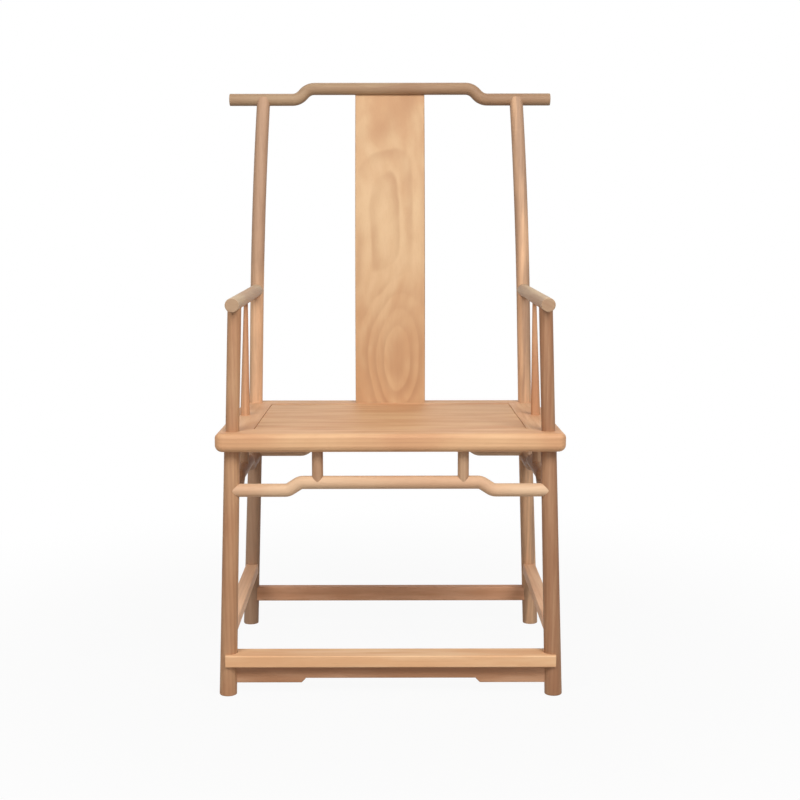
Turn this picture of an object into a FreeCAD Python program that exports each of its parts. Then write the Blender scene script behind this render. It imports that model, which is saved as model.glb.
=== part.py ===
import FreeCAD, Part
import os
import re
import Sketcher
from math import atan, atan2, cos, pi, sin, tan

# A yoke-back armchair in pale solid wood, held together by mortise and tenon joints alone.
# Millimetres, +Z up, the sitter faces -Y, and left is the left seen from the front.
# Everything is built round the seat's centre, then each piece moves along Y as one, so that
# the origin is on the floor under the middle of the whole chair.

SIZES = {
    # Seat: a frame of four mitred rails round a flat panel, measured to the frame's top
    "seat_width": 622,
    "seat_depth": 480,
    "seat_height": 481.5,
    "seat_thickness": 33.5,
    "seat_corner": 15,
    "seat_top_round": 9,
    "seat_bottom_round": 12,
    "rail_width": 64,
    "mitre_gap": 0.2,
    # Seat panel with its tongue, and the two battens that stiffen it from below
    "panel_thickness": 12,
    "panel_drop": 1,
    "panel_seam": 0.4,
    "panel_round": 1,
    "tongue_length": 8,
    "tongue_thickness": 6,
    "batten_width": 34,
    "batten_height": 13,
    "batten_across": 110,
    # Legs: their axes at the neck, just under the seat, and their lean per millimetre of height
    "neck_across": 283.4,
    "neck_along": 203.4,
    "neck_radius": 14.2,
    "foot_radius": 15.8,
    "foot_round": 2.5,
    "floor_trim": 1,
    "front_splay": 0.0283,
    "rear_splay": 0.04,
    "deep_splay": 0.03,
    # Posts: the legs' upper lengths, thinner above the shoulder that carries the seat
    "front_radius": 12.3,
    "rear_radius": 13.8,
    "front_lean": 0.03,
    "rear_lean": 0.028,
    "post_bend_above": 225,
    "post_set": 1.2,
    # Crest rail: low ends, a raised middle, and its axis's height at the low ends
    "crest_half": 336,
    "crest_height": 1112,
    "crest_back": 277.5,
    "crest_radius": 12.5,
    "crest_rise": 22.2,
    "crest_step": 181.3,
    "crest_run": 21,
    "crest_bend": 29,
    "end_round": 1.5,
    # Splat: one bent board from the seat to the crest
    "splat_width": 145,
    "splat_thickness": 11,
    "splat_foot_back": 198,
    "splat_bend_above": 80,
    "splat_set": 7,
    "splat_round": 2,
    # Arms and the thin spindle under each
    "arm_radius": 12.5,
    "arm_front_height": 707.6,
    "arm_rise": 9.6,
    "arm_overhang": 41,
    "spindle_along": 8,
    "spindle_foot_radius": 9.3,
    "spindle_head_radius": 3.7,
    "spindle_head_out": 2.5,
    # Humpback stretchers under the seat, and the short struts that stand on them
    "hump_radius": 11.9,
    "hump_drop": 72.9,
    "side_hump_drop": 83,
    "rear_hump_drop": 70,
    "hump_rise": 14.2,
    "hump_step_inset": 112.7,
    "hump_run": 22,
    "hump_bend": 18,
    "strut_radius": 10,
    "strut_across": 130.3,
    "flush_step": 0.2,
    # Foot rail in front, its apron, and the lower stretchers on the other three sides
    "foot_rail_half": 298,
    "foot_rail_low": 55,
    "foot_rail_height": 22,
    "foot_rail_depth": 44,
    "apron_low": 21.6,
    "apron_relief": 8.4,
    "apron_relief_half": 155,
    "apron_chamfer": 7,
    "apron_thickness": 11,
    "apron_round": 1.5,
    "side_bar_low": 110.5,
    "side_bar_height": 22,
    "side_bar_depth": 26,
    "rear_bar_low": 51,
    "rear_bar_height": 30,
    "rear_bar_depth": 20,
    "bar_round": 2.5,
    # Joints: what is left round a shoulder and in a mortise, and the tenons' own sizes
    "joint_gap": 0.15,
    "mortise_room": 0.2,
    "tenon_thickness": 8,
    "tenon_length": 24,
    "tenon_stop": 6,
    "tenon_shoulder": 4,
    "peg_radius": 5,
    "peg_depth": 11,
    "thin_peg_radius": 3,
    "post_peg_radius": 6.5,
    "mitre_tenon_width": 11,
    "mitre_tenon_length": 40,
    "mitre_tenon_inset": 8,
    "mitre_tenon_shift": 5,
    "splat_tenon_width": 96,
    "splat_tenon_thickness": 5,
    # How far stock runs into what it is joined to, or past what trims it
    "overrun": 5,
}

# Places worked out from the sizes
PLACES = {
    "seat_under": "seat_height - seat_thickness",
    "opening_across": "seat_width / 2 - rail_width",
    "opening_along": "seat_depth / 2 - rail_width",
    "panel_under": "seat_height - panel_drop - panel_thickness",
    "batten_top": "panel_under - joint_gap",
    "seat_centre": "(seat_depth / 2 - crest_back - crest_radius) / 2",
    "side_splay": "(front_splay + rear_splay) / 2",
    "hump_level": "seat_under - hump_drop",
    "side_hump_level": "seat_under - side_hump_drop",
    "rear_hump_level": "seat_under - rear_hump_drop",
    "arm_rear_height": "arm_front_height + arm_rise",
    "leg_taper": "(foot_radius - neck_radius) / seat_under",
    "hump_leg_radius": "neck_radius + leg_taper * hump_drop",
    "hump_flush": "hump_leg_radius - hump_radius - flush_step",
    "strut_flush": "hump_radius - strut_radius - flush_step",
    "crest_top": "crest_height + crest_rise",
    "post_climb": "(crest_height - seat_under + overrun) / cos(atan(rear_lean))",
    "post_drift": "crest_back - post_set - neck_along - deep_splay * overrun",
    "post_tip": "atan(deep_splay * cos(atan(rear_lean)))",
    "arm_tip": "-neck_along + deep_splay * (arm_front_height - seat_under) - arm_overhang",
    "arm_root": "neck_along - deep_splay * (arm_rear_height - seat_under)",
    "arm_climb": "(arm_rear_height - arm_front_height) / (arm_root - arm_tip)",
    "arm_front_across": "neck_across - front_lean * (arm_front_height - seat_under)",
    "arm_rear_across": "neck_across - rear_lean * (arm_rear_height - seat_under)",
    "arm_widening": "(arm_rear_across - arm_front_across) / (arm_root - arm_tip)",
    "front_post_top": "arm_front_height + arm_climb * arm_overhang",
    "spindle_top": "arm_front_height + arm_climb * (spindle_along - arm_tip)",
    "spindle_head_across": "arm_front_across + arm_widening * (spindle_along - arm_tip) + spindle_head_out",
    "spindle_lean": "(neck_across - spindle_head_across) / (spindle_top - seat_height)",
}

UP = FreeCAD.Vector(0, 0, 1)
HANDS = {"left": -1, "right": 1}
ENDS = {"front": -1, "rear": 1}
TURNS = {"front": 0, "right": 90, "rear": 180, "left": 270}
# The legs that each side's rails run between, first the one at its own left
CORNERS = {
    "front": ("front_left", "front_right"),
    "right": ("front_right", "rear_right"),
    "rear": ("rear_right", "rear_left"),
    "left": ("rear_left", "front_left"),
}

doc = FreeCAD.newDocument("chair")
sheet = doc.addObject("Spreadsheet::Sheet", "Sizes")
for row, (alias, number) in enumerate(SIZES.items(), start=1):
    sheet.set(f"A{row}", alias)
    sheet.set(f"B{row}", str(number))
    sheet.setAlias(f"B{row}", alias)
places = doc.addObject("App::VarSet", "Places")


def linked(formula):
    """The formula with every name pointed at the cell or the place that holds it."""

    def owner(match):
        word = match.group()
        if word in SIZES:
            return f"Sizes.{word}"
        return f"Places.{word}" if word in PLACES else word

    return re.sub(r"[a-z]+(?:_[a-z]+)*", owner, formula)


def bind(thing, path, formula):
    thing.setExpression(path, linked(formula))


for place, formula in PLACES.items():
    places.addProperty("App::PropertyFloat", place)
    bind(places, place, formula)
doc.recompute()


def amount(formula):
    """What a formula comes to now, for first guesses and for finding edges."""
    return float(places.evalExpression(linked(formula)))


# Where the legs are

def reach(side, height):
    """From the chair's centre to the leg's axis, along a side."""
    if side in HANDS:
        return f"(neck_along + deep_splay * (seat_under - {height}))"
    return f"(neck_across + {side}_splay * (seat_under - {height}))"


def offset(side, height):
    """From the chair's centre out to a side's line of legs."""
    if side in HANDS:
        return f"(neck_across + side_splay * (seat_under - {height}))"
    return f"(neck_along + deep_splay * (seat_under - {height}))"


def turned(side, across, along):
    """A point given for the front side, carried round to another side."""
    return {
        "front": (across, along),
        "right": (f"-({along})", across),
        "rear": (f"-({across})", f"-({along})"),
        "left": (along, f"-({across})"),
    }[side]


# Placing

def aim(thing, base, yaw="0", pitch="0", roll="0"):
    """Puts a thing's own origin at a point and turns it about X, then Y, then Z."""
    point = f"create(<<vector>>; {'; '.join(base)})"
    turn = f"create(<<rotation>>; {yaw}; {pitch}; {roll})"
    bind(thing, "Placement", f"create(<<placement>>; {point}; {turn})")


def stand(thing, base, slope_x, slope_y):
    """Stands a thing on a point, leaning this much along X and Y per millimetre of height."""
    pitch = f"atan({slope_x})"
    aim(thing, base, pitch=pitch, roll=f"-atan({slope_y} * cos({pitch}))")


def slant(height, slope_x, slope_y):
    """The length of a leaning line that climbs by a height."""
    return f"({height}) * sqrt(1 + ({slope_x})^2 + ({slope_y})^2)"


# Solids for tenons, mortises and straight stock

def block(name, size, middle, side="front"):
    """A box round its middle point, with its length along the side it is turned to."""
    box = doc.addObject("Part::Box", name)
    for edge, formula in zip(("Length", "Width", "Height"), size):
        bind(box, edge, formula)
    x, y = turned(side, f"{middle[0]} - ({size[0]}) / 2", f"{middle[1]} - ({size[1]}) / 2")
    box.Placement.Rotation = FreeCAD.Rotation(UP, TURNS[side])
    bind(box, "Placement.Base.x", x)
    bind(box, "Placement.Base.y", y)
    bind(box, "Placement.Base.z", f"{middle[2]} - ({size[2]}) / 2")
    return box


def rod(name, radius, x, y, low, high):
    """An upright cylinder."""
    cylinder = doc.addObject("Part::Cylinder", name)
    bind(cylinder, "Radius", radius)
    bind(cylinder, "Height", f"{high} - ({low})")
    bind(cylinder, "Placement.Base.x", x)
    bind(cylinder, "Placement.Base.y", y)
    bind(cylinder, "Placement.Base.z", low)
    return cylinder


tenons = {}
mortises = {}


def tenon(male, female, size, middle, side="front"):
    """A flat tenon on one piece, and its mortise, a little larger, in the other."""
    name = f"{male}_into_{female}"
    roomy = [f"{edge} + 2 * mortise_room" for edge in size]
    tenons.setdefault(male, []).append(block(name, size, middle, side))
    mortises.setdefault(female, []).append(block(f"{name}_mortise", roomy, middle, side))


def peg(male, female, radius, x, y, low, high):
    """A round tenon on one piece, and its hole, a little larger, in the other."""
    name = f"{male}_into_{female}"
    tenons.setdefault(male, []).append(rod(name, radius, x, y, low, high))
    deep, tall = f"{low} - mortise_room", f"{high} + mortise_room"
    mortises.setdefault(female, []).append(rod(f"{name}_hole", f"{radius} + mortise_room", x, y, deep, tall))


def joined(name, shapes):
    if len(shapes) == 1:
        return shapes[0]
    union = doc.addObject("Part::MultiFuse", name)
    union.Shapes = shapes
    union.Refine = True
    return union


def less(name, base, tools):
    """The base with each tool cut from it in turn."""
    for number, tool in enumerate(tools, start=1):
        cut = doc.addObject("Part::Cut", f"{name}_{number}")
        cut.Base = base
        cut.Tool = tool
        cut.Refine = True
        base = cut
    return base


# Sketches and features inside a body

def in_plane(role, point):
    """A point's three coordinates in the axes of one of a body's origin planes."""
    x, y, z = point
    return {"XY_Plane": (x, y, z), "XZ_Plane": (x, z, f"-({y})"), "YZ_Plane": (y, z, x)}[role]


def sketch_on(body, name, role, origin):
    sketch = body.newObject("Sketcher::SketchObject", name)
    plane = next(feature for feature in body.Origin.OriginFeatures if feature.Role == role)
    sketch.AttachmentSupport = (plane, "")
    sketch.MapMode = "FlatFace"
    for axis, formula in zip("xyz", in_plane(role, origin)):
        bind(sketch, f"AttachmentOffset.Base.{axis}", formula)
    return sketch


def constrain(sketch, name, formula, kind, *arguments):
    """A named constraint held to a formula, which starts at the value it comes to now."""
    index = sketch.addConstraint(Sketcher.Constraint(kind, *arguments, amount(formula)))
    sketch.renameConstraint(index, name)
    bind(sketch, f"Constraints.{name}", formula)


def circle(body, name, role, centre, radius):
    sketch = sketch_on(body, name, role, centre)
    sketch.addGeometry(Part.Circle(FreeCAD.Vector(), UP, amount(radius)))
    sketch.addConstraint(Sketcher.Constraint("Coincident", 0, 3, -1, 1))
    constrain(sketch, "radius", radius, "Radius", 0)
    return sketch


def rectangle(body, name, role, centre, width, height):
    sketch = sketch_on(body, name, role, centre)
    right = amount(width) / 2
    top = amount(height) / 2
    corners = [FreeCAD.Vector(x, y) for x, y in ((-right, -top), (right, -top), (right, top), (-right, top))]
    for start, end in zip(corners, corners[1:] + corners[:1]):
        sketch.addGeometry(Part.LineSegment(start, end))
    for line in range(4):
        sketch.addConstraint(Sketcher.Constraint("Coincident", line, 2, (line + 1) % 4, 1))
        sketch.addConstraint(Sketcher.Constraint("Vertical" if line % 2 else "Horizontal", line))
    sketch.addConstraint(Sketcher.Constraint("Symmetric", 0, 1, 2, 1, -1, 1))
    constrain(sketch, "width", width, "DistanceX", 0, 1, 0, 2)
    constrain(sketch, "height", height, "DistanceY", 1, 1, 1, 2)
    return sketch


def pipe(body, name, profile, path):
    feature = body.newObject("PartDesign::AdditivePipe", name)
    feature.Profile = profile
    feature.Spine = path
    return feature


def pad(body, name, profile, length, symmetric=False):
    feature = body.newObject("PartDesign::Pad", name)
    feature.Profile = profile
    bind(feature, "Length", length)
    if symmetric:
        feature.SideType = "Symmetric"
    return feature


def pocket(body, name, profile, length, symmetric=False):
    feature = body.newObject("PartDesign::Pocket", name)
    feature.Profile = profile
    bind(feature, "Length", length)
    if symmetric:
        feature.SideType = "Symmetric"
    return feature


def soften(body, name, size, wanted, kind="Fillet"):
    """A fillet or chamfer along those edges of the body that a test picks."""
    doc.recompute()
    base = body.Tip
    names = [f"Edge{number}" for number, edge in enumerate(base.Shape.Edges, start=1) if wanted(edge)]
    feature = body.newObject(f"PartDesign::{kind}", name)
    feature.Base = (base, names)
    bind(feature, {"Fillet": "Radius", "Chamfer": "Size"}[kind], size)
    return feature


def near(value, target):
    return abs(value - target) < amount("joint_gap") / 2


def level(edge, height):
    """Whether the whole edge lies at one height."""
    return near(edge.BoundBox.ZMin, height) and near(edge.BoundBox.ZMax, height)


# Paths

def bent_path(body, name, origin, straight, end_x, end_y):
    """In the YZ plane: a straight run upwards, then one arc back to its end."""
    sketch = sketch_on(body, name, "YZ_Plane", origin)
    start = FreeCAD.Vector(0, amount(straight))
    chord = FreeCAD.Vector(amount(end_x), amount(end_y)) - start
    # The angle between the run and the chord is half of the arc's sweep
    half_sweep = atan2(chord.x, chord.y)
    radius = chord.Length / 2 / sin(half_sweep)
    centre = start + FreeCAD.Vector(radius, 0)
    sketch.addGeometry(Part.LineSegment(FreeCAD.Vector(), start))
    sketch.addGeometry(Part.ArcOfCircle(Part.Circle(centre, UP, radius), pi - 2 * half_sweep, pi))
    sketch.addConstraint(Sketcher.Constraint("Coincident", 0, 1, -1, 1))
    sketch.addConstraint(Sketcher.Constraint("Vertical", 0))
    sketch.addConstraint(Sketcher.Constraint("Tangent", 0, 2, 1, 2))
    constrain(sketch, "straight", straight, "DistanceY", 0, 1, 0, 2)
    constrain(sketch, "end_x", end_x, "DistanceX", -1, 1, 1, 1)
    constrain(sketch, "end_y", end_y, "DistanceY", -1, 1, 1, 1)
    return sketch


def hump_path(body, name, origin, half, step, rise, run, bend):
    """In the XZ plane: level ends, a raised middle, and a sloping step between arcs on each side."""
    sketch = sketch_on(body, name, "XZ_Plane", origin)
    flat = f"{step} - {run} / 2 - {bend} * tan(atan({rise} / {run}) / 2)"
    slope = atan(amount(rise) / amount(run))
    radius = amount(bend)
    top = amount(rise)
    middle = amount(flat)
    foot = amount(step) + amount(run) / 2 + radius * tan(slope / 2)
    outer = amount(half)
    span = radius * sin(slope)
    drop = radius * (1 - cos(slope))
    for hand in (-1, 1):
        ends = [(outer, 0), (foot, 0), (foot - span, drop), (middle + span, top - drop), (middle, top)]
        tip, low, rising, cresting, flat_end = [FreeCAD.Vector(hand * x, y) for x, y in ends]
        low_centre = FreeCAD.Vector(hand * foot, radius)
        top_centre = FreeCAD.Vector(hand * middle, top - radius)
        low_angles = (-pi / 2, -pi / 2 + slope) if hand < 0 else (-pi / 2 - slope, -pi / 2)
        top_angles = (pi / 2, pi / 2 + slope) if hand < 0 else (pi / 2 - slope, pi / 2)
        sketch.addGeometry(Part.LineSegment(tip, low))
        sketch.addGeometry(Part.ArcOfCircle(Part.Circle(low_centre, UP, radius), *low_angles))
        sketch.addGeometry(Part.LineSegment(rising, cresting))
        sketch.addGeometry(Part.ArcOfCircle(Part.Circle(top_centre, UP, radius), *top_angles))
    sketch.addGeometry(Part.LineSegment(FreeCAD.Vector(-middle, top), FreeCAD.Vector(middle, top)))
    # Left half is 0 to 3, right half 4 to 7, and 8 is the raised middle
    for first, low_end, top_end in ((0, 1, 1), (4, 2, 2)):
        sketch.addConstraint(Sketcher.Constraint("Horizontal", first))
        sketch.addConstraint(Sketcher.Constraint("Tangent", first, 2, first + 1, low_end))
        sketch.addConstraint(Sketcher.Constraint("Tangent", first + 1, 3 - low_end, first + 2, 1))
        sketch.addConstraint(Sketcher.Constraint("Tangent", first + 2, 2, first + 3, 3 - top_end))
        sketch.addConstraint(Sketcher.Constraint("Tangent", first + 3, top_end, 8, top_end))
    sketch.addConstraint(Sketcher.Constraint("PointOnObject", 0, 1, -1))
    sketch.addConstraint(Sketcher.Constraint("PointOnObject", 4, 1, -1))
    for arc in (3, 5, 7):
        sketch.addConstraint(Sketcher.Constraint("Equal", 1, arc))
    constrain(sketch, "bend", bend, "Radius", 1)
    constrain(sketch, "left_end", half, "DistanceX", 0, 1, -1, 1)
    constrain(sketch, "right_end", half, "DistanceX", -1, 1, 4, 1)
    constrain(sketch, "left_flat", flat, "DistanceX", 8, 1, -1, 1)
    constrain(sketch, "right_flat", flat, "DistanceX", -1, 1, 8, 2)
    constrain(sketch, "rise", rise, "DistanceY", -1, 1, 8, 1)
    foot_place = f"{step} + {run} / 2 + {bend} * tan(atan({rise} / {run}) / 2)"
    constrain(sketch, "left_foot", foot_place, "DistanceX", 0, 2, -1, 1)
    constrain(sketch, "right_foot", foot_place, "DistanceX", -1, 1, 4, 2)
    return sketch


# Legs: a tapered lower length and a thinner post above it, in one piece

def turned_cone(name, foot_radius, head_radius, length):
    body = doc.addObject("PartDesign::Body", name)
    profile = sketch_on(body, f"{name}_profile", "XZ_Plane", ("0", "0", "0"))
    corners = (("0", "0"), (foot_radius, "0"), (head_radius, length), ("0", length))
    points = [FreeCAD.Vector(amount(x), amount(y)) for x, y in corners]
    for start, end in zip(points, points[1:] + points[:1]):
        profile.addGeometry(Part.LineSegment(start, end))
    for line in range(4):
        profile.addConstraint(Sketcher.Constraint("Coincident", line, 2, (line + 1) % 4, 1))
    profile.addConstraint(Sketcher.Constraint("Coincident", 0, 1, -1, 1))
    profile.addConstraint(Sketcher.Constraint("Horizontal", 0))
    profile.addConstraint(Sketcher.Constraint("Horizontal", 2))
    profile.addConstraint(Sketcher.Constraint("Vertical", 3))
    constrain(profile, "foot_radius", foot_radius, "DistanceX", 0, 1, 0, 2)
    constrain(profile, "head_radius", head_radius, "DistanceX", 2, 2, 2, 1)
    constrain(profile, "length", length, "DistanceY", 3, 2, 3, 1)
    turning = body.newObject("PartDesign::Revolution", f"{name}_turning")
    turning.Profile = profile
    turning.ReferenceAxis = (profile, ["V_Axis"])
    return body


def bent_post(name, radius):
    """A rear post, upright in its own frame and bent back above the arms."""
    body = doc.addObject("PartDesign::Body", name)
    origin = ("0", "0", "0")
    end_x = "post_climb * sin(post_tip) + post_drift * cos(post_tip)"
    end_y = "post_climb * cos(post_tip) - post_drift * sin(post_tip)"
    path = bent_path(body, f"{name}_path", origin, "post_bend_above + overrun", end_x, end_y)
    pipe(body, f"{name}_rod", circle(body, f"{name}_profile", "XY_Plane", origin, radius), path)
    return body


def lower_leg(name, end, hand, grow):
    """The length from the floor to the seat, standing a little below the floor until it is trimmed."""
    sign = ENDS[end]
    height = "(seat_under + floor_trim)"
    lean_x = f"{-hand} * {end}_splay"
    lean_y = f"{-sign} * deep_splay"
    length = slant(height, lean_x, lean_y)
    cone = turned_cone(name, f"foot_radius + {grow}", f"neck_radius + {grow}", length)
    if grow == "0":
        soften(cone, f"{name}_round", "foot_round", lambda edge: level(edge, 0))
    foot = (
        f"{hand} * (neck_across + {end}_splay * {height})",
        f"{sign} * (neck_along + deep_splay * {height})",
        "-floor_trim",
    )
    stand(cone, foot, lean_x, lean_y)
    return cone


def post(name, end, hand, grow):
    """The length above the seat's underside, started a little lower, inside the lower leg."""
    sign = ENDS[end]
    lean_x = f"{-hand} * {end}_lean"
    lean_y = f"{-sign} * deep_splay"
    if end == "rear":
        stock = bent_post(name, f"rear_radius + {grow}")
    else:
        stock = doc.addObject("Part::Cylinder", name)
        bind(stock, "Radius", f"front_radius + {grow}")
        bind(stock, "Height", slant("front_post_top - seat_under + overrun", lean_x, lean_y))
    root = (
        f"{hand} * (neck_across + {end}_lean * overrun)",
        f"{sign} * (neck_along + deep_splay * overrun)",
        "seat_under - overrun",
    )
    stand(stock, root, lean_x, lean_y)
    return stock


ground = block("ground", ("2 * seat_width", "2 * seat_depth", "overrun"), ("0", "0", "-overrun / 2"))
blanks = {}
copes = {}
bores = {}
leg_rooms = {}
post_rooms = {}
for end in ENDS:
    for side, hand in HANDS.items():
        corner = f"{end}_{side}"
        lower = lower_leg(f"leg_{corner}_lower", end, hand, "0")
        upper = post(f"leg_{corner}_post", end, hand, "0")
        blanks[f"leg_{corner}"] = joined(f"leg_{corner}_stock", [lower, upper])
        bores[f"leg_{corner}"] = [ground]
        leg_rooms[corner] = lower_leg(f"leg_{corner}_room", end, hand, "joint_gap")
        post_rooms[corner] = post(f"post_{corner}_room", end, hand, "joint_gap")


def corner_rooms(side, rooms=leg_rooms):
    return [rooms[corner] for corner in CORNERS[side]]


# Seat frame: one slab with a rounded outer edge, divided into four rails along the mitres

def seat_slab():
    body = doc.addObject("PartDesign::Body", "seat_slab")
    outer = rectangle(body, "slab_outline", "XY_Plane", ("0", "0", "seat_under"), "seat_width", "seat_depth")
    pad(body, "slab", outer, "seat_thickness")
    opening = rectangle(
        body, "slab_opening", "XY_Plane", ("0", "0", "seat_height"), "2 * opening_across", "2 * opening_along"
    )
    pocket(body, "slab_hollow", opening, "seat_thickness")

    def outside(edge):
        middle = edge.CenterOfMass
        past_side = abs(middle.x) > amount("opening_across + joint_gap")
        return past_side or abs(middle.y) > amount("opening_along + joint_gap")

    def upright(edge):
        return edge.BoundBox.ZLength > amount("joint_gap")

    under = amount("seat_under")
    top = amount("seat_height")
    soften(body, "slab_corners", "seat_corner", lambda edge: outside(edge) and upright(edge))
    soften(body, "slab_top", "seat_top_round", lambda edge: outside(edge) and level(edge, top))
    soften(body, "slab_bottom", "seat_bottom_round", lambda edge: outside(edge) and level(edge, under))
    return body


def rail_wedge(side):
    """The part of the seat frame that one rail takes, between its mitres."""
    half, across = "seat_depth / 2", "seat_width / 2"
    if side not in HANDS:
        half, across = f"({across} - mitre_gap)", half
    wedge = doc.addObject("Part::Wedge", f"seat_rail_{side}_wedge")
    for prefix, inset in (("X", "0"), ("X2", "rail_width")):
        bind(wedge, f"{prefix}min", f"-({half} - {inset})")
        bind(wedge, f"{prefix}max", f"{half} - {inset}")
    bind(wedge, "Ymin", f"-{across}")
    bind(wedge, "Ymax", f"-{across} + rail_width")
    for prefix in ("Z", "Z2"):
        bind(wedge, f"{prefix}min", "seat_under")
        bind(wedge, f"{prefix}max", "seat_height")
    wedge.Placement.Rotation = FreeCAD.Rotation(UP, TURNS[side])
    return wedge


slab = seat_slab()
panel_groove = block(
    "panel_groove",
    (
        "2 * (opening_across + tongue_length + joint_gap)",
        "2 * (opening_along + tongue_length + joint_gap)",
        "tongue_thickness + 2 * joint_gap",
    ),
    ("0", "0", "panel_under + tongue_thickness / 2"),
)
for side in TURNS:
    rail = doc.addObject("Part::Common", f"seat_rail_{side}_stock")
    rail.Base = slab
    rail.Tool = rail_wedge(side)
    blanks[f"seat_rail_{side}"] = rail
    bores[f"seat_rail_{side}"] = [panel_groove] + corner_rooms(side) + corner_rooms(side, post_rooms)

# The front and rear rails carry a tenon at each mitre, just inside the leg that passes through
for side in ENDS:
    for hand, neighbour in zip((-1, 1), ("left", "right") if side == "front" else ("right", "left")):
        tenon(
            f"seat_rail_{side}",
            f"seat_rail_{neighbour}",
            ("mitre_tenon_length", "mitre_tenon_width", "tenon_thickness"),
            (
                f"{hand} * (opening_across + mitre_tenon_inset + mitre_tenon_shift)",
                "-(opening_along + mitre_tenon_inset)",
                "seat_under + tenon_thickness",
            ),
            side,
        )


# Seat panel and battens

def seat_panel():
    body = doc.addObject("PartDesign::Body", "seat_panel_board")
    centre = ("0", "0", "panel_under")
    tongue = rectangle(
        body,
        "panel_tongue",
        "XY_Plane",
        centre,
        "2 * (opening_across + tongue_length)",
        "2 * (opening_along + tongue_length)",
    )
    pad(body, "panel_plate", tongue, "tongue_thickness")
    field = rectangle(
        body,
        "panel_field",
        "XY_Plane",
        centre,
        "2 * (opening_across - panel_seam)",
        "2 * (opening_along - panel_seam)",
    )
    pad(body, "panel_raised", field, "panel_thickness")
    top = amount("panel_under + panel_thickness")
    soften(body, "panel_arris", "panel_round", lambda edge: level(edge, top))
    return body


blanks["seat_panel"] = seat_panel()
for side, hand in HANDS.items():
    name = f"seat_batten_{side}"
    middle = "batten_top - batten_height / 2"
    blanks[name] = block(
        f"{name}_stock",
        ("batten_width", "2 * (opening_along - joint_gap)", "batten_height"),
        (f"{hand} * batten_across", "0", middle),
    )
    for end in ENDS:
        tenon(
            name,
            f"seat_rail_{end}",
            ("batten_width - 2 * tenon_shoulder", "tenon_length", "tenon_thickness"),
            (f"{hand} * batten_across", f"{ENDS[end]} * opening_along", middle),
        )


# Rods bent over a hump: the crest rail and the four stretchers under the seat

def humped_rod(name, side, distance, height, half, radius, path_sizes, grow="0"):
    body = doc.addObject("PartDesign::Body", name)
    along = f"-({distance})"
    path = hump_path(body, f"{name}_path", ("0", along, height), half, *path_sizes)
    profile = circle(body, f"{name}_profile", "YZ_Plane", (f"-({half})", along, height), f"{radius} + {grow}")
    pipe(body, f"{name}_rod", profile, path)
    body.Placement.Rotation = FreeCAD.Rotation(UP, TURNS[side])
    return body


CREST_PATH = ("crest_step", "crest_rise", "crest_run", "crest_bend")
CREST = ("rear", "crest_back", "crest_height", "crest_half", "crest_radius", CREST_PATH)
blanks["crest_rail"] = humped_rod("crest_stock", *CREST)


def at_crest_tip(edge):
    across = edge.BoundBox.XLength < amount("joint_gap")
    return across and near(abs(edge.CenterOfMass.x), amount("crest_half"))


soften(blanks["crest_rail"], "crest_ends", "end_round", at_crest_tip)
crest_room = humped_rod("crest_room", *CREST, "joint_gap")

HUMP_LEVELS = {
    "front": "hump_level",
    "right": "side_hump_level",
    "rear": "rear_hump_level",
    "left": "side_hump_level",
}


def hump_line(side):
    """Out to a humpback: at the sides in line with the legs, else flush with their faces."""
    line = offset(side, HUMP_LEVELS[side])
    return line if side in HANDS else f"{line} + hump_flush"


hump_rooms = {}
for side in TURNS:
    name = f"humpback_{side}"
    height = HUMP_LEVELS[side]
    half = reach(side, height)
    distance = hump_line(side)
    path_sizes = (f"({half} - hump_step_inset)", "hump_rise", "hump_run", "hump_bend")
    rod_sizes = (side, distance, height, half, "hump_radius", path_sizes)
    blanks[name] = humped_rod(f"{name}_stock", *rod_sizes)
    hump_rooms[side] = humped_rod(f"{name}_room", *rod_sizes, "joint_gap")
    copes[name] = corner_rooms(side)
    for hand, corner in zip((-1, 1), CORNERS[side]):
        tenon(
            name,
            f"leg_{corner}",
            ("tenon_length", "tenon_thickness", "2 * (hump_radius - tenon_shoulder)"),
            (f"{hand} * ({half} - tenon_stop - tenon_length / 2)", f"-({distance})", height),
            side,
        )

# Struts, two at the front and the back and one at each side, from hump to seat

def strut(name, side, across):
    distance = hump_line(side) if side in HANDS else f"{hump_line(side)} + strut_flush"
    hump_top = f"({HUMP_LEVELS[side]} + hump_rise)"
    x, y = turned(side, across, f"-({distance})")
    blanks[name] = rod(f"{name}_stock", "strut_radius", x, y, hump_top, "seat_under")
    copes[name] = [hump_rooms[side]]
    peg(name, f"seat_rail_{side}", "peg_radius", x, y, "seat_under - peg_depth", "seat_under + peg_depth")
    peg(name, f"humpback_{side}", "peg_radius", x, y, hump_top, f"{hump_top} + hump_radius + peg_depth")


for end in ENDS:
    for side, hand in HANDS.items():
        strut(f"strut_{end}_{side}", end, f"{hand * -ENDS[end]} * strut_across")
for side in HANDS:
    strut(f"strut_{side}", side, "0")


# Straight bars between the legs near the floor

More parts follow.
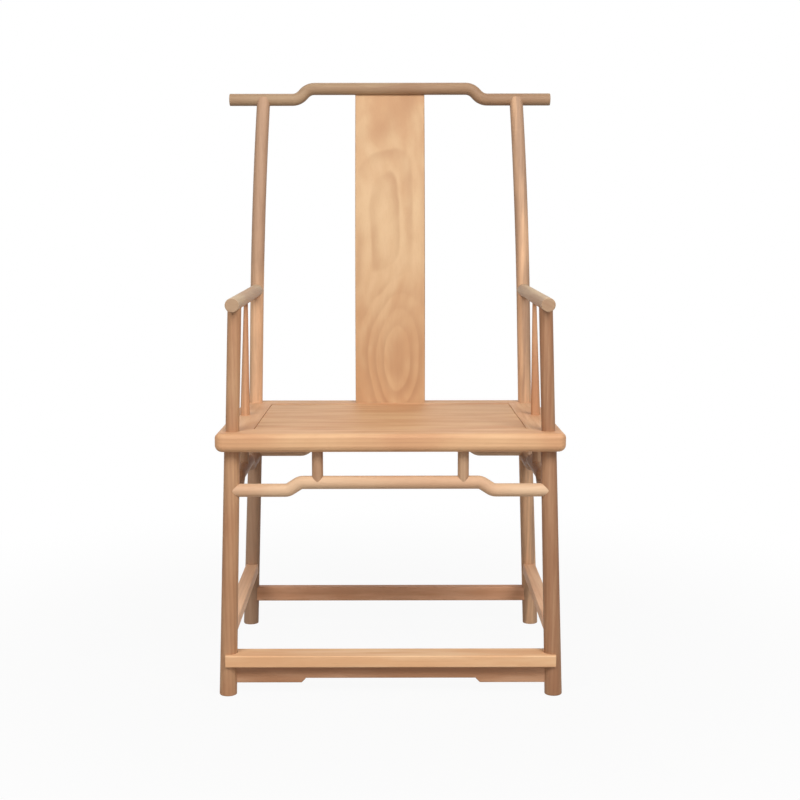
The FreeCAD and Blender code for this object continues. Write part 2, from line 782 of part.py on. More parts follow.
def bar(name, side, half, low, height, depth, distance, swing="0 deg"):
    """A bar along a side, swung in plan about the chair's centre where its two legs splay unequally."""
    body = doc.addObject("PartDesign::Body", f"{name}_stock")
    section = rectangle(
        body, f"{name}_section", "YZ_Plane", ("0", f"-({distance})", f"{low} + {height} / 2"), depth, height
    )
    pad(body, f"{name}_bar", section, f"2 * ({half})", symmetric=True)
    soften(body, f"{name}_edges", "bar_round", lambda edge: edge.BoundBox.XLength > amount(half))
    body.Placement.Rotation = FreeCAD.Rotation(UP, TURNS[side])
    bind(body, "Placement.Rotation.Angle", f"{TURNS[side]} deg + {swing}")
    blanks[name] = body
    copes[name] = corner_rooms(side)
    middle = f"({low} + {height} / 2)"
    for hand, corner in zip((-1, 1), CORNERS[side]):
        tenon(
            name,
            f"leg_{corner}",
            ("tenon_length", "tenon_thickness", f"{height} - 2 * tenon_shoulder"),
            (f"{hand} * ({reach(side, middle)} - tenon_stop - tenon_length / 2)", f"-({distance})", middle),
            side,
        )


RAIL_MIDDLE = "(foot_rail_low + foot_rail_height / 2)"
RAIL_ALONG = offset("front", RAIL_MIDDLE)
RAIL_SECTION = ("foot_rail_low", "foot_rail_height", "foot_rail_depth")
bar("foot_rail", "front", "foot_rail_half", *RAIL_SECTION, RAIL_ALONG)
for side in ("left", "right", "rear"):
    kind = "rear_bar" if side == "rear" else "side_bar"
    low, height, depth = f"{kind}_low", f"{kind}_height", f"{kind}_depth"
    middle = f"({low} + {height} / 2)"
    half = reach(side, middle)
    swing = "0 deg"
    if side in HANDS:
        widening = f"(rear_splay - front_splay) * (seat_under - {middle}) / (2 * {half})"
        swing = f"{-HANDS[side]} * atan({widening})"
    bar(f"foot_stretcher_{side}", side, half, low, height, depth, offset(side, middle), swing)


# Apron under the foot rail, deeper at its ends

def foot_apron():
    body = doc.addObject("PartDesign::Body", "foot_apron_stock")
    half = reach("front", "foot_rail_low")
    tall = "(foot_rail_low - apron_low)"
    board = rectangle(
        body,
        "apron_outline",
        "XZ_Plane",
        ("0", f"-{RAIL_ALONG}", f"apron_low + {tall} / 2"),
        f"2 * {half}",
        tall,
    )
    pad(body, "apron_board", board, "apron_thickness", symmetric=True)
    relief = rectangle(
        body,
        "apron_relief_outline",
        "XZ_Plane",
        ("0", f"-{RAIL_ALONG}", "apron_low"),
        "2 * apron_relief_half",
        "2 * apron_relief",
    )
    pocket(body, "apron_hollow", relief, "2 * apron_thickness", symmetric=True)

    def step_edge(edge):
        at_step = near(abs(edge.CenterOfMass.x), amount("apron_relief_half"))
        return at_step and level(edge, amount("apron_low"))

    def lower_arris(edge):
        faces_out = near(abs(edge.CenterOfMass.y + amount(RAIL_ALONG)), amount("apron_thickness / 2"))
        middle = edge.CenterOfMass
        inside = abs(middle.x) < amount(half) - amount("joint_gap")
        return faces_out and inside and middle.z < amount("foot_rail_low - joint_gap")

    soften(body, "apron_steps", "apron_chamfer", step_edge, "Chamfer")
    soften(body, "apron_arris", "apron_round", lower_arris)
    return body


blanks["foot_apron"] = foot_apron()
copes["foot_apron"] = corner_rooms("front")
tongue_half = f"({reach('front', RAIL_MIDDLE)} - foot_radius - tenon_length)"
tenon(
    "foot_apron",
    "foot_rail",
    (f"2 * {tongue_half}", "apron_thickness / 2", "tenon_thickness"),
    ("0", f"-{RAIL_ALONG}", "foot_rail_low"),
)


# Arms: straight rods from the front overhang back to the rear post

def arm(name, hand, grow="0"):
    body = doc.addObject("PartDesign::Body", name)
    section = circle(body, f"{name}_section", "XY_Plane", ("0", "0", "0"), f"arm_radius + {grow}")
    pad(body, f"{name}_rod", section, slant("arm_root - arm_tip", "arm_widening", "arm_climb"))
    if grow == "0":
        soften(body, f"{name}_round", "end_round", lambda edge: level(edge, 0))
    yaw = f"-atan({hand} * arm_widening)"
    tip = (f"{hand} * arm_front_across", "arm_tip", "arm_front_height")
    aim(body, tip, yaw=yaw, roll=f"atan(arm_climb * cos({yaw})) - 90 deg")
    return body


def spindle(name, hand):
    """A tapered spindle, started inside the seat rail that then trims its foot."""
    lean = f"{-hand} * spindle_lean"
    height = "spindle_top - seat_height + overrun"
    cone = turned_cone(name, "spindle_foot_radius", "spindle_head_radius", slant(height, lean, "0"))
    root = (f"{hand} * (neck_across + spindle_lean * overrun)", "spindle_along", "seat_height - overrun")
    stand(cone, root, lean, "0")
    return cone


for side, hand in HANDS.items():
    arm_name = f"arm_{side}"
    blanks[arm_name] = arm(f"{arm_name}_stock", hand)
    arm_room = arm(f"{arm_name}_room", hand, "joint_gap")
    copes[arm_name] = [post_rooms[f"rear_{side}"]]
    tenon(
        arm_name,
        f"leg_rear_{side}",
        ("tenon_thickness", "tenon_length", "2 * (arm_radius - tenon_shoulder)"),
        (f"{hand} * arm_rear_across", "arm_root - tenon_length / 2", "arm_rear_height"),
    )
    front_leg = f"leg_front_{side}"
    copes[front_leg] = [arm_room]
    peg(
        front_leg,
        arm_name,
        "post_peg_radius",
        f"{hand} * (neck_across - front_lean * (front_post_top - seat_under))",
        "-(neck_along - deep_splay * (front_post_top - seat_under))",
        "front_post_top - arm_radius - tenon_shoulder",
        "front_post_top",
    )
    spindle_name = f"arm_spindle_{side}"
    blanks[spindle_name] = spindle(f"{spindle_name}_stock", hand)
    copes[spindle_name] = [arm_room, slab]
    head = f"{hand} * spindle_head_across"
    peg(
        spindle_name,
        arm_name,
        "thin_peg_radius",
        head,
        "spindle_along",
        "spindle_top - arm_radius - tenon_shoulder",
        "spindle_top - tenon_shoulder",
    )
    peg(
        spindle_name,
        f"seat_rail_{side}",
        "peg_radius",
        f"{hand} * neck_across",
        "spindle_along",
        "seat_height - peg_depth",
        "seat_height + peg_depth",
    )
    rear_leg = f"leg_rear_{side}"
    copes[rear_leg] = [crest_room]
    peg(
        rear_leg,
        "crest_rail",
        "thin_peg_radius",
        f"{hand} * (neck_across - rear_lean * (crest_height - seat_under))",
        "crest_back",
        "crest_height - crest_radius - tenon_shoulder",
        "crest_height",
    )


# Splat: a flat board bent to the same kind of line as the rear posts, housed under the crest rail a
# little behind its middle

def splat():
    body = doc.addObject("PartDesign::Body", "splat_board")
    foot = ("0", "splat_foot_back", "seat_height")
    section = rectangle(body, "splat_section", "XY_Plane", foot, "splat_width", "splat_thickness")
    path = bent_path(
        body,
        "splat_path",
        foot,
        "splat_bend_above",
        "crest_back + splat_set - splat_foot_back",
        "crest_top - splat_set - seat_height",
    )
    pipe(body, "splat_bent", section, path)

    def long_edge(edge):
        return edge.BoundBox.ZLength > amount("splat_bend_above / 2")

    soften(body, "splat_edges", "splat_round", long_edge)
    return body


blanks["back_splat"] = splat()
copes["back_splat"] = [crest_room]
tenon(
    "back_splat",
    "seat_rail_rear",
    ("splat_tenon_width", "splat_tenon_thickness", "2 * peg_depth"),
    ("0", "splat_foot_back", "seat_height"),
)
tenon(
    "back_splat",
    "crest_rail",
    ("splat_tenon_width", "splat_tenon_thickness", "crest_radius"),
    ("0", "crest_back + splat_set / 2", "crest_top - crest_radius + tenon_shoulder / 2"),
)

# Each piece: its stock, coped to what it meets, with its tenons on and its mortises cut
pieces = []
for name, stock in blanks.items():
    piece = stock
    if name in copes:
        piece = less(f"{name}_coped", piece, copes[name])
    if name in tenons:
        piece = joined(f"{name}_tenoned", [piece] + tenons[name])
    cuts = mortises.get(name, []) + bores.get(name, [])
    if cuts:
        piece = less(f"{name}_mortised", piece, cuts)
    pieces.append((name, piece))
doc.recompute()

os.makedirs("parts", exist_ok=True)
for name, piece in pieces:
    piece.Label = name
    bind(piece, "Placement.Base.y", "seat_centre")
doc.recompute()
faults = [thing.Name for thing in doc.Objects if {"Invalid", "Error"} & set(thing.State)]
for name, piece in pieces:
    if piece.Shape.isNull() or not piece.Shape.isValid() or len(piece.Shape.Solids) != 1:
        faults.append(f"{name}: {len(piece.Shape.Solids)} solids")
if faults:
    raise RuntimeError("not built: " + ", ".join(faults))
for name, piece in pieces:
    piece.Shape.exportStep(f"parts/{name}.step")
print(len(pieces), "pieces")
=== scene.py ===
import math

import bpy
from mathutils import Matrix, Vector

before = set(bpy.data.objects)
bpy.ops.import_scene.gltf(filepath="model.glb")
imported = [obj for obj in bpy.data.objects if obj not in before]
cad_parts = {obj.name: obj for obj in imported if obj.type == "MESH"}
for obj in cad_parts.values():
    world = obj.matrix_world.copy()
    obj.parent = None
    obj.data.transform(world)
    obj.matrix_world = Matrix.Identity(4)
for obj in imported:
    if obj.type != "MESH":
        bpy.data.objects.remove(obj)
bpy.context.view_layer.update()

# The looks of a yoke-back armchair in pale elm: the finish of each piece, the light and the camera.
# Lengths are in metres, and MM turns millimetres into them.

MM = 0.001


def colour(code):
    """A linear colour from an sRGB hex code."""
    shares = [int(code[first:first + 2], 16) / 255 for first in (1, 3, 5)]
    linear = [share / 12.92 if share <= 0.04045 else ((share + 0.055) / 1.055) ** 2.4 for share in shares]
    return linear + [1]


def add(tree, kind, sockets=(), **settings):
    """Adds a node with its settings, and gives each listed socket a value or a link."""
    made = tree.nodes.new("ShaderNode" + kind)
    for setting, value in settings.items():
        setattr(made, setting, value)
    for socket, value in dict(sockets).items():
        if isinstance(value, bpy.types.NodeSocket):
            tree.links.new(value, made.inputs[socket])
        else:
            made.inputs[socket].default_value = value
    return made


# Elm, planed and sanded, with a hardwax oil rubbed in: warm tan heartwood, straight grain on the
# rods, a swirling figure on the wide splat, open pores that break a satin sheen

WOOD_IOR = 1.5
WOOD_SHEEN = 0.35
WOOD_DULLNESS = 0.56
PORE_DULLNESS = 0.7
PORE_BITE = 0.3
PORE_DEPTH = 0.12 * MM
CUT_END_DARKNESS = 0.55

# Pores are 0.2 mm wide and fibres 0.1 mm, and both are drawn wider so that they show
PORE_WIDTH = 0.8 * MM
PORE_LENGTH = 20 * MM
FIBRE_WIDTH = 2.6 * MM
FIBRE_LENGTH = 150 * MM

# A year's ring darkens from one share of its width to another, and fades over the rest
RING_DARKENS = 0.15
RING_DARKEST = 0.8

# How far each year shifts the clouds, the scale of the stretches with bold rings beside that of the
# clouds, and how bold the faintest and the boldest rings are beside the piece's figure
YEAR_SHIFT = 0.3
BOLD_SCALE = 0.7
FAINTEST = 0.35
BOLDEST = 1.65

# From which to which value a noise brings on bold rings, fibres, pores and dull wood, and how
# squarely a face crosses the grain where it looks like a cut end
MIDDLE = 0.5
BOLD = {"From Min": 0.3, "From Max": 0.7}
FIBRE = {"From Min": 0.45, "From Max": 0.75}
PORE = {"From Min": 0.58, "From Max": 0.72}
DULL = {"From Min": 0.5, "From Max": 0.72}
CUT_END = {"From Min": 0.75, "From Max": 0.97}

# Noises whose cells are one unit wide. Detail is how many finer noises lie on top.
ROUGH_NOISE = {"Scale": 1, "Detail": 2}
SMOOTH_NOISE = {"Scale": 1, "Detail": 1}

# Turns that lay a piece's grain along Z, and the way that its grain runs
TO_UPRIGHT = {
    "X": (0, -math.pi / 2, 0),
    "Y": (math.pi / 2, 0, 0),
    "Z": (0, 0, 0),
}
ALONG = {"X": (1, 0, 0), "Y": (0, 1, 0), "Z": (0, 0, 1)}


def straightened(tree, place, bow):
    """Takes a bend out of the wood, so that the grain follows the bend as it does in a sawn curve."""
    start, rate = bow
    height = add(tree, "SeparateXYZ", {0: place}).outputs["Z"]
    above = add(tree, "Math", {0: height, 1: start}, operation="SUBTRACT").outputs[0]
    raised = add(tree, "Math", {0: above, 1: 0}, operation="MAXIMUM").outputs[0]
    square = add(tree, "Math", {0: raised, 1: raised}, operation="MULTIPLY").outputs[0]
    back = add(tree, "Math", {0: square, 1: rate}, operation="MULTIPLY").outputs[0]
    shift = add(tree, "CombineXYZ", {"Y": back}).outputs[0]
    return add(tree, "VectorMath", {0: place, 1: shift}, operation="SUBTRACT").outputs[0]


def log_round(tree, place, grain, heart, layers):
    """Where a place on the piece lay in its log, whose heart runs along Z."""
    upright = add(
        tree,
        "Mapping",
        {"Vector": place, "Rotation": TO_UPRIGHT[grain], "Location": heart},
        label="log with its heart along Z",
    ).outputs["Vector"]
    return add(tree, "VectorMath", {0: upright, 1: (*layers, 1)}, operation="MULTIPLY").outputs[0]


def grown_years(tree, log, ring, drift, drift_reach):
    """Counts rings from a heart that wanders slowly, which bends them into long arches on a flat face."""
    across, along = drift_reach
    pace = (1 / across, 1 / across, 1 / along)
    slow = add(tree, "VectorMath", {0: log, 1: pace}, operation="MULTIPLY").outputs[0]
    wander = add(tree, "TexNoise", {"Vector": slow, **ROUGH_NOISE}).outputs["Color"]
    middle = (MIDDLE, MIDDLE, MIDDLE)
    centred = add(tree, "VectorMath", {0: wander, 1: middle}, operation="SUBTRACT").outputs[0]
    reach = (2 * drift, 2 * drift, 0)
    moved = add(tree, "VectorMath", {0: centred, 1: reach, 2: log}, operation="MULTIPLY_ADD").outputs[0]
    flat = add(tree, "VectorMath", {0: moved, 1: (1, 1, 0)}, operation="MULTIPLY").outputs[0]
    radius = add(tree, "VectorMath", {0: flat}, operation="LENGTH").outputs["Value"]
    return add(tree, "Math", {0: radius, 1: ring}, operation="DIVIDE").outputs[0]


def swollen(tree, place, years, burl):
    """Adds rings that swell round one point of a board, fewer and fewer away from it."""
    centre, reach, depth = burl
    from_centre = add(tree, "VectorMath", {0: place, 1: centre}, operation="SUBTRACT").outputs[0]
    shrink = [1 / size for size in reach]
    in_reaches = add(tree, "VectorMath", {0: from_centre, 1: shrink}, operation="MULTIPLY").outputs[0]
    distance = add(tree, "VectorMath", {0: in_reaches}, operation="LENGTH").outputs["Value"]
    fall = {"Value": distance, "To Min": depth, "To Max": 0}
    swell = add(tree, "MapRange", fall, interpolation_type="SMOOTHSTEP").outputs["Result"]
    return add(tree, "Math", {0: years, 1: swell}, operation="ADD").outputs[0]


def late_wood(tree, years):
    """Rises to 1 in a year's dark wood, and is back at 0 where the next year starts."""
    season = add(tree, "Math", {0: years}, operation="FRACT").outputs[0]
    late = add(tree, "ValToRGB", {"Fac": season})
    late.color_ramp.interpolation = "EASE"
    start, ripe = late.color_ramp.elements
    start.position = RING_DARKENS
    ripe.position = RING_DARKEST
    late.color_ramp.elements.new(1).color = (0, 0, 0, 1)
    return late.outputs["Color"]


def zoned(tree, place, zone):
    """A shift towards the pale tone round one height of an upright piece, and towards the red tone away
    from it. On the right rear leg it is painted light.
    """
    middle, reach, depth = zone
    height = add(tree, "SeparateXYZ", {0: place}).outputs["Z"]
    offset = add(tree, "Math", {0: height, 1: middle}, operation="SUBTRACT").outputs[0]
    distance = add(tree, "Math", {0: offset}, operation="ABSOLUTE").outputs[0]
    rise = {"Value": distance, "From Max": reach, "To Min": -depth, "To Max": depth}
    return add(tree, "MapRange", rise, interpolation_type="SMOOTHSTEP").outputs["Result"]


def cloudy_wood(tree, place, clouds, years, pale, red, softness, pale_tone_and_painted_light_zone):
    """Clouds of redder wood run along the grain, and each year is a little redder or paler."""
    year_step = add(tree, "CombineXYZ", {"X": years}).outputs[0]
    shifted = {0: year_step, 1: (YEAR_SHIFT, 0, 0), 2: clouds}
    banded = add(tree, "VectorMath", shifted, operation="MULTIPLY_ADD").outputs[0]
    redness = add(tree, "TexNoise", {"Vector": banded, **ROUGH_NOISE}).outputs["Fac"]
    if pale_tone_and_painted_light_zone:
        zone = zoned(tree, place, pale_tone_and_painted_light_zone)
        redness = add(tree, "Math", {0: redness, 1: zone}, operation="ADD").outputs[0]
    turn = {"Value": redness, "From Min": MIDDLE - softness, "From Max": MIDDLE + softness}
    clouded = add(tree, "MapRange", turn, interpolation_type="SMOOTHSTEP").outputs["Result"]
    return add(tree, "Mix", {"Factor": clouded, "A": pale, "B": red}, data_type="RGBA").outputs["Result"]


def ringed_wood(tree, body, clouds, years, dark, figure):
    """Draws the end of each year's ring, bold in some stretches of the log and faint in others."""
    broad = {"Vector": clouds, **SMOOTH_NOISE, "Scale": BOLD_SCALE}
    strength = add(tree, "TexNoise", broad).outputs["Fac"]
    weight = {"Value": strength, **BOLD, "To Min": FAINTEST * figure, "To Max": BOLDEST * figure}
    bold = add(tree, "MapRange", weight, interpolation_type="SMOOTHSTEP").outputs["Result"]
    line = add(tree, "Math", {0: late_wood(tree, years), 1: bold}, operation="MULTIPLY").outputs[0]
    return add(tree, "Mix", {"Factor": line, "A": body, "B": dark}, data_type="RGBA").outputs["Result"]


def fibrous_wood(tree, body, log, dark, streaks):
    """Draws the bundles of fibres."""
    size = (1 / FIBRE_WIDTH, 1 / FIBRE_WIDTH, 1 / FIBRE_LENGTH)
    fine = add(tree, "VectorMath", {0: log, 1: size}, operation="MULTIPLY").outputs[0]
    fibre = add(tree, "TexNoise", {"Vector": fine, **ROUGH_NOISE}).outputs["Fac"]
    weight = {"Value": fibre, **FIBRE, "To Max": streaks}
    streak = add(tree, "MapRange", weight, interpolation_type="SMOOTHSTEP").outputs["Result"]
    return add(tree, "Mix", {"Factor": streak, "A": body, "B": dark}, data_type="RGBA").outputs["Result"]


def cut_ends(tree, body, normal, grain, dark):
    """Darkens the cut ends, which drink more oil."""
    facing = add(tree, "VectorMath", {0: normal, 1: ALONG[grain]}, operation="DOT_PRODUCT").outputs["Value"]
    squarely = add(tree, "Math", {0: facing}, operation="ABSOLUTE").outputs[0]
    weight = {"Value": squarely, **CUT_END, "To Max": CUT_END_DARKNESS}
    ending = add(tree, "MapRange", weight, interpolation_type="SMOOTHSTEP").outputs["Result"]
    return add(tree, "Mix", {"Factor": ending, "A": body, "B": dark}, data_type="RGBA").outputs["Result"]


def elm(name, grain, tones, heart, cut):
    """
    Elm cut from a log whose heart runs along the grain, this far from the piece's own axis. Tones
    are the pale wood, the redder wood and the dark wood that ends each year's ring.
    """
    pale, red, dark = [colour(tone) for tone in tones]
    material = bpy.data.materials.new(name)
    material.use_nodes = True
    tree = material.node_tree
    tree.nodes.clear()
    where = add(tree, "TexCoord")
    place = where.outputs["Object"]
    if cut["bow"]:
        place = straightened(tree, place, cut["bow"])
    log = log_round(tree, place, grain, heart, cut["layers"])

    years = grown_years(tree, log, cut["ring"], cut["drift"], cut["drift_reach"])
    for burl in cut["burls"]:
        years = swollen(tree, place, years, burl)
    width, length = cut["cloud"]
    size = (1 / width, 1 / width, 1 / length)
    clouds = add(tree, "VectorMath", {0: log, 1: size}, operation="MULTIPLY").outputs[0]
    clouded = cloudy_wood(tree, place, clouds, years, pale, red, cut["cloud_softness"], cut["pale_tone_and_painted_light_zone"])
    ringed = ringed_wood(tree, clouded, clouds, years, dark, cut["figure"])
    fibrous = fibrous_wood(tree, ringed, log, dark, cut["streaks"])

    # The pores are darker, duller and a little sunk
    size = (1 / PORE_WIDTH, 1 / PORE_WIDTH, 1 / PORE_LENGTH)
    slits = add(tree, "VectorMath", {0: log, 1: size}, operation="MULTIPLY").outputs[0]
    fleck = add(tree, "TexNoise", {"Vector": slits, **SMOOTH_NOISE}).outputs["Fac"]
    sinking = {"Value": fleck, **PORE}
    sunk = add(tree, "MapRange", sinking, interpolation_type="SMOOTHSTEP").outputs["Result"]
    darkening = {"Value": fleck, **PORE, "To Max": cut["streaks"]}
    pore = add(tree, "MapRange", darkening, interpolation_type="SMOOTHSTEP").outputs["Result"]
    pored = add(tree, "Mix", {"Factor": pore, "A": fibrous, "B": dark}, data_type="RGBA").outputs["Result"]
    finished = cut_ends(tree, pored, where.outputs["Normal"], grain, dark)
    dulling = {"Value": fleck, **DULL, "To Min": WOOD_DULLNESS, "To Max": PORE_DULLNESS}
    dullness = add(tree, "MapRange", dulling, interpolation_type="SMOOTHSTEP").outputs["Result"]
    bite = {"Height": sunk, "Strength": PORE_BITE, "Distance": PORE_DEPTH}
    relief = add(tree, "Bump", bite, invert=True).outputs["Normal"]
    surface = add(
        tree,
        "BsdfPrincipled",
        {
            "Base Color": finished,
            "Roughness": dullness,
            "Normal": relief,
            "IOR": WOOD_IOR,
            "Specular IOR Level": WOOD_SHEEN,
        },
    ).outputs["BSDF"]
    add(tree, "OutputMaterial", {"Surface": surface})
    return material


# Tones of each board and rod: pale wood, redder wood, dark wood. The apron's are darkened with painted
# shade, and the arms' are greyed with a painted sheen.
CREST = ("#ae9172", "#9f7c5f", "#805e45")
SPLAT = ("#d5b289", "#c3976f", "#ab7c57")
REAR_POSTS = ("#e3b68e", "#b38f73", "#8f6a50")
LEFT_POST = ("#be946f", "#ae7e5c", "#8e5f41")
RIGHT_POST = ("#ad8362", "#9d7051", "#805439")
# The arms' tones are their grey-tan wood, greyed further with a painted pale sheen on their tops
ARMS_AND_PAINTED_SHEEN = ("#cab08f", "#b8987b", "#967156")
SPINDLES = ("#cf9f78", "#bd8863", "#9a6645")
SEAT_ENDS = ("#dcb085", "#ce9b72", "#b07b55")
SEAT_SIDES = ("#deb188", "#cf9b72", "#b07c55")
PANEL = ("#d8ad80", "#cb976d", "#b17b52")
HUMPS = ("#dbb996", "#cfa684", "#b08462")
STRUTS = ("#bb9878", "#ab8264", "#8c6246")
STRETCHERS = ("#f2c59e", "#e4b28b", "#c08d68")
FOOT_RAIL = ("#eec69b", "#e2b083", "#c08a60")
# The apron's wood is darkened with painted shade, the shade that the foot rail casts on it
APRON_PAINTED_SHADE = ("#c59877", "#ae7e5c", "#8f6142")
REAR_STRETCHER = ("#e6b18c", "#d0966f", "#a9734f")

# The way that each piece's grain runs, and its tones, by the start of the piece's name
GRAINS = {
    "crest": ("X", CREST),
    "back_splat": ("Z", SPLAT),
    "leg_rear": ("Z", REAR_POSTS),
    "leg_front_left": ("Z", LEFT_POST),
    "leg_front_right": ("Z", RIGHT_POST),
    "arm_spindle": ("Z", SPINDLES),
    "arm": ("Y", ARMS_AND_PAINTED_SHEEN),
    "strut": ("Z", STRUTS),
    "seat_rail_left": ("Y", SEAT_SIDES),
    "seat_rail_right": ("Y", SEAT_SIDES),
    "seat_rail": ("X", SEAT_ENDS),
    "seat_panel": ("X", PANEL),
    "seat_batten": ("Y", PANEL),
    "humpback_left": ("Y", STRUTS),
    "humpback_right": ("Y", STRUTS),
    "humpback": ("X", HUMPS),
    "foot_rail": ("X", FOOT_RAIL),
    "foot_apron": ("X", APRON_PAINTED_SHADE),
    "foot_stretcher_rear": ("X", REAR_STRETCHER),
    "foot_stretcher": ("Y", STRETCHERS),
}

# The height above which the rear posts bend back, and how sharply
POST_BOW = (673 * MM, 0.488)

# Rods whose rings are flattened along their bend
FLAT_LAYERS = (0.25, 1)

# The burls in the splat: the middle of each, how far it reaches each way, and how many rings it adds
SPLAT_BURLS = (
    ((6 * MM, 200 * MM, 575 * MM), (85 * MM, 300 * MM, 235 * MM), 5),
    ((-20 * MM, 270 * MM, 1070 * MM), (95 * MM, 300 * MM, 150 * MM), 1.6),
)

# How a piece was cut from its log. Ring is a year's width. Drift is how far the heart's line wanders,
# and its reach is how slowly, across and along. Figure and streaks are how dark the rings and the
# fibres are. Layers below 1 flatten the rings that way, as they are far from the heart. Cloud is how
# wide and long a redder cloud is. A pale zone is its height, how far it reaches and how strong it is.
PLAIN_CUT = {
    "ring": 6.5 * MM,
    "drift": 4 * MM,
    "drift_reach": (45 * MM, 380 * MM),
    "figure": 0.18,
    "streaks": 0.16,
    "layers": (1, 1),
    "bow": None,
    "burls": (),
    "cloud": (30 * MM, 170 * MM),
    "cloud_softness": 0.18,
    "pale_tone_and_painted_light_zone": None,
}

# The cut of each piece, by the longest start that its name has. Every name has the empty start.
CUTS = {
    "": PLAIN_CUT,
    "crest": {**PLAIN_CUT, "layers": FLAT_LAYERS},
    "humpback": {**PLAIN_CUT, "layers": FLAT_LAYERS},
    "seat_panel": {**PLAIN_CUT, "figure": 0.1},
    "leg_rear_left": {**PLAIN_CUT, "bow": POST_BOW, "pale_tone_and_painted_light_zone": (590 * MM, 300 * MM, 0.22)},
    # The right rear leg is paler towards its foot: painted light, standing in for the light that reaches
    # the foot
    "leg_rear_right": {**PLAIN_CUT, "bow": POST_BOW, "pale_tone_and_painted_light_zone": (100 * MM, 700 * MM, 0.1)},
    "back_splat": {
        **PLAIN_CUT,
        "ring": 32 * MM,
        "drift": 14 * MM,
        "drift_reach": (70 * MM, 150 * MM),
        "figure": 0.28,
        "streaks": 0.08,
        "burls": SPLAT_BURLS,
        "cloud": (38 * MM, 90 * MM),
        "cloud_softness": 0.32,
        "pale_tone_and_painted_light_zone": (855 * MM, 310 * MM, 0.2),
    },
}

# The heart beside the splat, and those beside the other pieces: each lies one of a few steps beyond
# the nearest one, and each piece comes from further along the log than the last
SPLAT_HEART = (12 * MM, -190 * MM, 200 * MM)
NEAREST_HEART = (60 * MM, 35 * MM)
HEART_STEP = (17 * MM, 23 * MM)
HEART_STEPS = (5, 4)
LOG_STEP = 310 * MM


def closest(table, node):
    """The entry whose name is the longest start of the node's name."""
    return table[max((start for start in table if node.startswith(start)), key=len)]


for number, (node, piece) in enumerate(sorted(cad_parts.items())):
    grain, tones = closest(GRAINS, node)
    if node == "back_splat":
        heart = SPLAT_HEART
    else:
        aside = [
            nearest + step * (number % steps)
            for nearest, step, steps in zip(NEAREST_HEART, HEART_STEP, HEART_STEPS)
        ]
        heart = (*aside, LOG_STEP * number)
    piece.data.materials.clear()
    piece.data.materials.append(elm("elm_" + node, grain, tones, heart, closest(CUTS, node)))

# Studio: a white floor that runs into white, soft lights from both sides in front, one low in front
# and one high behind, and a dim even sky

PAPER = "#aeaca9"
SKY = 0.19
FLOOR_HALF = 12
FADE_START = 0.45
FADE_END = 1.5
WHITE_NEAR = 0.94


def background_rays(tree):
    """1 for a ray that sees the white background: straight from the camera, reflected or let through."""
    path = add(tree, "LightPath")
    seen = path.outputs["Is Camera Ray"]
    for also in ("Is Glossy Ray", "Is Transmission Ray"):
        seen = add(tree, "Math", {0: seen, 1: path.outputs[also]}, operation="MAXIMUM").outputs[0]
    return seen


def white_paper():
    """Matt white paper, which shows as pure white away from the chair and keeps its shadow near it."""
    material = bpy.data.materials.new("white_paper")
    material.use_nodes = True
    tree = material.node_tree
    tree.nodes.clear()
    matt = add(tree, "BsdfDiffuse", {"Color": colour(PAPER)}).outputs[0]
    bright = add(tree, "Emission", {"Color": (1, 1, 1, 1), "Strength": 1}).outputs[0]
    where = add(tree, "TexCoord").outputs["Object"]
    distance = add(tree, "VectorMath", {0: where}, operation="LENGTH").outputs["Value"]
    fade = {"Value": distance, "From Min": FADE_START, "From Max": FADE_END, "To Min": WHITE_NEAR}
    whiteness = add(tree, "MapRange", fade, interpolation_type="SMOOTHSTEP").outputs["Result"]
    share = add(tree, "Math", {0: background_rays(tree), 1: whiteness}, operation="MULTIPLY").outputs[0]
    blend = add(tree, "MixShader", {"Fac": share, 1: matt, 2: bright}).outputs[0]
    add(tree, "OutputMaterial", {"Surface": blend})
    return material


floor_mesh = bpy.data.meshes.new("floor")
corners = [(x * FLOOR_HALF, y * FLOOR_HALF, 0) for x, y in ((-1, -1), (1, -1), (1, 1), (-1, 1))]
floor_mesh.from_pydata(corners, [], [(0, 1, 2, 3)])
floor_mesh.materials.append(white_paper())
floor = bpy.data.objects.new("floor", floor_mesh)
bpy.context.scene.collection.objects.link(floor)

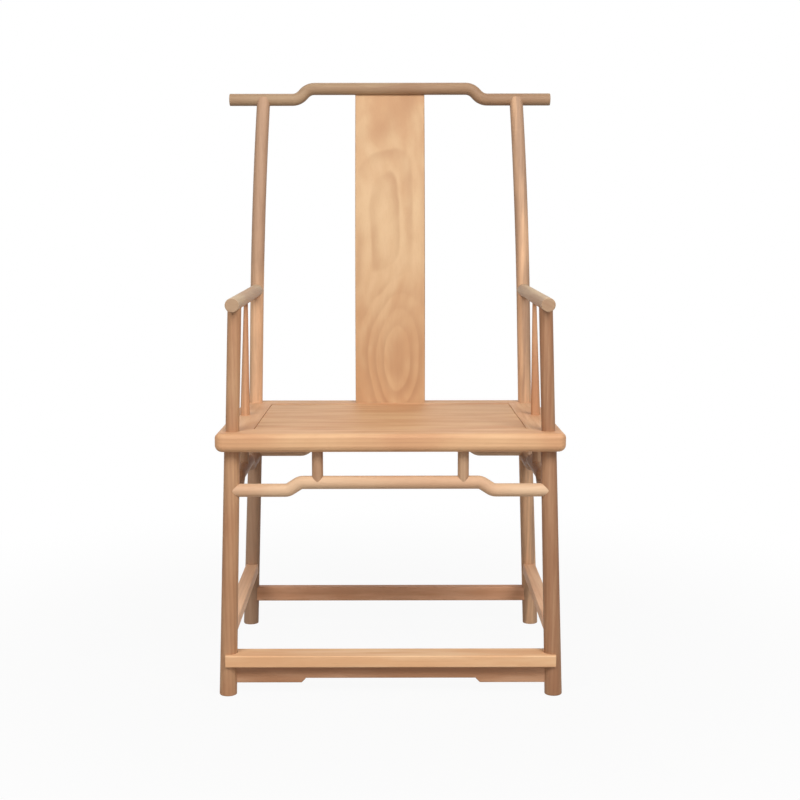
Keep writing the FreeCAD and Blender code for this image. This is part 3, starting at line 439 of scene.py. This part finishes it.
world = bpy.data.worlds.new("sky")
bpy.context.scene.world = world
world.use_nodes = True
sky = world.node_tree
sky.nodes.clear()
level = add(sky, "MapRange", {"Value": background_rays(sky), "To Min": SKY, "To Max": 1}).outputs["Result"]
glow = add(sky, "Background", {"Color": (1, 1, 1, 1), "Strength": level}).outputs[0]
add(sky, "OutputWorld", {"Surface": glow})


def area_light(name, place, target, size, power):
    """A square soft box with sides this long, turned to its target."""
    lamp = bpy.data.lights.new(name, "AREA")
    lamp.size = size
    lamp.energy = power
    holder = bpy.data.objects.new(name, lamp)
    holder.location = place
    holder.rotation_euler = (Vector(target) - Vector(place)).to_track_quat("-Z", "Y").to_euler()
    bpy.context.scene.collection.objects.link(holder)


area_light("right", place=(1.3, -2.2, 2.6), target=(0, 0, 0.5), size=1.4, power=64)
area_light("left", place=(-1.3, -2.2, 2.6), target=(0, 0, 0.5), size=1.4, power=46)
area_light("front", place=(0, -3.5, 1.1), target=(0, 0, 0.4), size=1.3, power=18)
area_light("back", place=(0, 2.2, 3.4), target=(0, 0.2, 0.6), size=1.2, power=16)

# Camera: where the photograph was taken from, how far it looks down and leans in radians, its lens
# and how its frame was cut, worked out from the chair's own corners. The sensor is in millimetres.

EYE = Vector((0, -2471.87, 822)) * MM
TILT = 0.1262
ROLL = -0.0015
SENSOR = 36
FOCAL_PIXELS = 1269.72
IMAGE_PIXELS = 800
CENTRE_PIXEL = 390.3

camera = bpy.data.cameras.new("camera")
camera.sensor_width = SENSOR
camera.lens = FOCAL_PIXELS / IMAGE_PIXELS * SENSOR
camera.shift_x = (IMAGE_PIXELS / 2 - CENTRE_PIXEL) / IMAGE_PIXELS
viewer = bpy.data.objects.new("camera", camera)
forward = Vector((0, math.cos(TILT), -math.sin(TILT)))
level_right = forward.cross(Vector((0, 0, 1))).normalized()
level_up = level_right.cross(forward)
right = level_right * math.cos(ROLL) + level_up * math.sin(ROLL)
up = right.cross(forward)
viewer.matrix_world = Matrix.Translation(EYE) @ Matrix((right, up, -forward)).transposed().to_4x4()
bpy.context.scene.collection.objects.link(viewer)
bpy.context.scene.camera = viewer
bpy.context.scene.view_settings.view_transform = "Standard"
